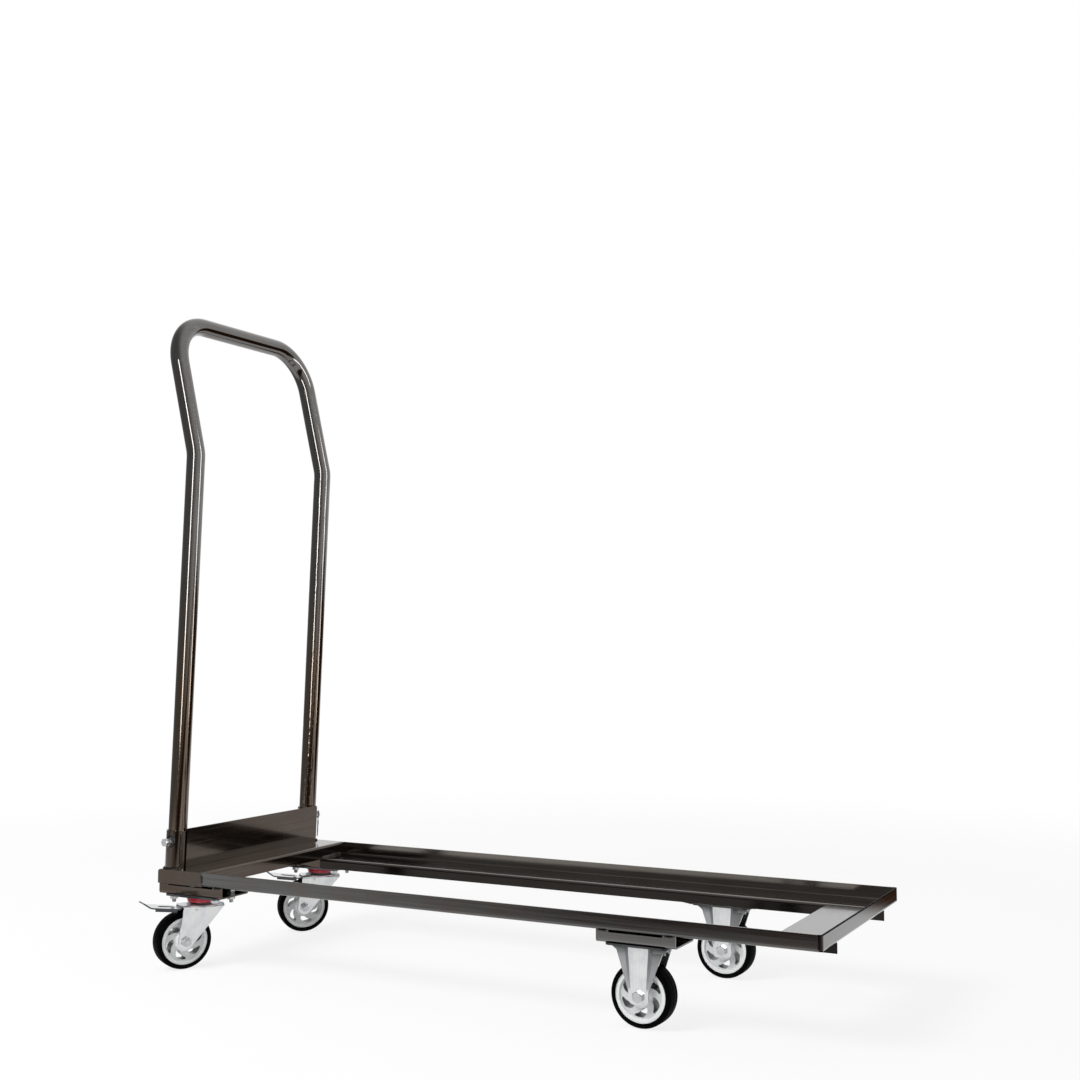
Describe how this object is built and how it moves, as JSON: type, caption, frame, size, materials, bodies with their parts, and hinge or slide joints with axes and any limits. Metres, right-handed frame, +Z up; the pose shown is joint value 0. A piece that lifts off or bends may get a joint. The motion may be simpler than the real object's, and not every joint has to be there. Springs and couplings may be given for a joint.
{
  "type": "folding chair cart",
  "caption": "Low cart with a folded steel tray bed, a plug-in bent tube push handle held by clamp screws, and fixed and braked swivel casters, for moving a stack of folding chairs.",
  "frame": {"origin": "on the floor, under the middle of the whole cart as it stands", "axes": "+X from the handle end to the open end, +Y from the front rail to the rear rail, +Z up"},
  "size_m": [1.2564, 0.5124, 1.201],
  "materials": {
    "raw_steel": "dark mill-finish steel under a thin clear coat",
    "zinc_steel": "bright zinc plated",
    "dark_steel": "oiled bearing steel",
    "grey_plastic": "light grey moulded plastic",
    "tyre_rubber": "black solid rubber",
    "red_plastic": "red moulded plastic"
  },
  "bodies": {
    "frame": {"side_rail_front": "raw_steel", "side_rail_rear": "raw_steel", "end_plate": "raw_steel", "end_carrier": "raw_steel", "handle_socket_front": "raw_steel", "handle_socket_rear": "raw_steel", "clamp_nut_front": "zinc_steel", "clamp_nut_rear": "zinc_steel", "end_wall": "raw_steel", "fixed_pan_front": "raw_steel", "fixed_pan_rear": "raw_steel", "swivel_pan_front": "raw_steel", "swivel_pan_rear": "raw_steel", "caster_bolts": "zinc_steel", "caster_nuts": "zinc_steel", "fixed_fork_front": "zinc_steel", "fixed_axle_front": "zinc_steel", "fixed_axle_nut_front": "zinc_steel", "fixed_fork_rear": "zinc_steel", "fixed_axle_rear": "zinc_steel", "fixed_axle_nut_rear": "zinc_steel", "swivel_plate_front": "zinc_steel", "kingpin_front": "zinc_steel", "seal_ring_front": "red_plastic", "thrust_race_front": "dark_steel", "swivel_plate_rear": "zinc_steel", "kingpin_rear": "zinc_steel", "seal_ring_rear": "red_plastic", "thrust_race_rear": "dark_steel"},
    "handle": {"push_handle": "raw_steel"},
    "clamp_front": {"clamp_screw_front": "zinc_steel"},
    "swivel_front": {"swivel_fork_front": "zinc_steel", "swivel_axle_front": "zinc_steel", "swivel_axle_nut_front": "zinc_steel", "pedal_pin_front": "zinc_steel"},
    "pedal_front": {"brake_pedal_front": "zinc_steel", "brake_shoe_front": "zinc_steel"},
    "swivel_roll_front": {"swivel_wheel_front": "grey_plastic", "swivel_tyre_front": "tyre_rubber", "swivel_bush_front": "zinc_steel"},
    "fixed_roll_front": {"fixed_wheel_front": "grey_plastic", "fixed_tyre_front": "tyre_rubber", "fixed_bush_front": "zinc_steel"},
    "clamp_rear": {"clamp_screw_rear": "zinc_steel"},
    "swivel_rear": {"swivel_fork_rear": "zinc_steel", "swivel_axle_rear": "zinc_steel", "swivel_axle_nut_rear": "zinc_steel", "pedal_pin_rear": "zinc_steel"},
    "pedal_rear": {"brake_pedal_rear": "zinc_steel", "brake_shoe_rear": "zinc_steel"},
    "swivel_roll_rear": {"swivel_wheel_rear": "grey_plastic", "swivel_tyre_rear": "tyre_rubber", "swivel_bush_rear": "zinc_steel"},
    "fixed_roll_rear": {"fixed_wheel_rear": "grey_plastic", "fixed_tyre_rear": "tyre_rubber", "fixed_bush_rear": "zinc_steel"}
  },
  "joints": [
    {"name": "handle_lift", "type": "slide", "parent": "frame", "child": "handle", "axis": [0.0426, 0, 0.9991], "range_m": [0, 0.08]},
    {"name": "clamp_turn_front", "type": "hinge", "parent": "frame", "child": "clamp_front", "pos_m": [-0.5801, -0.18875, 0.2215], "axis": [0, -1, 0], "range_deg": [0, 360]},
    {"name": "swivel_turn_front", "type": "hinge", "parent": "frame", "child": "swivel_front", "pos_m": [-0.5318, -0.15175, 0.112], "axis": [0, 0, 1], "continuous": true},
    {"name": "brake_press_front", "type": "hinge", "parent": "swivel_front", "child": "pedal_front", "pos_m": [-0.5408, -0.16734, 0.104], "axis": [0.866, -0.5, 0], "range_deg": [0, 7.5]},
    {"name": "swivel_roll_front", "type": "hinge", "parent": "swivel_front", "child": "swivel_roll_front", "pos_m": [-0.5503, -0.1838, 0.05], "axis": [0.866, -0.5, 0], "continuous": true},
    {"name": "fixed_roll_front", "type": "hinge", "parent": "frame", "child": "fixed_roll_front", "pos_m": [0.3375, -0.15175, 0.05], "axis": [0, 1, 0], "continuous": true},
    {"name": "clamp_turn_rear", "type": "hinge", "parent": "frame", "child": "clamp_rear", "pos_m": [-0.5801, 0.24325, 0.2215], "axis": [0, 1, 0], "range_deg": [0, 360]},
    {"name": "swivel_turn_rear", "type": "hinge", "parent": "frame", "child": "swivel_rear", "pos_m": [-0.5318, 0.20625, 0.112], "axis": [0, 0, 1], "continuous": true},
    {"name": "brake_press_rear", "type": "hinge", "parent": "swivel_rear", "child": "pedal_rear", "pos_m": [-0.54408, 0.19308, 0.104], "axis": [0.7314, -0.682, 0], "range_deg": [0, 7.5]},
    {"name": "swivel_roll_rear", "type": "hinge", "parent": "swivel_rear", "child": "swivel_roll_rear", "pos_m": [-0.55704, 0.17919, 0.05], "axis": [0.7314, -0.682, 0], "continuous": true},
    {"name": "fixed_roll_rear", "type": "hinge", "parent": "frame", "child": "fixed_roll_rear", "pos_m": [0.3375, 0.20625, 0.05], "axis": [0, 1, 0], "continuous": true}
  ]
}
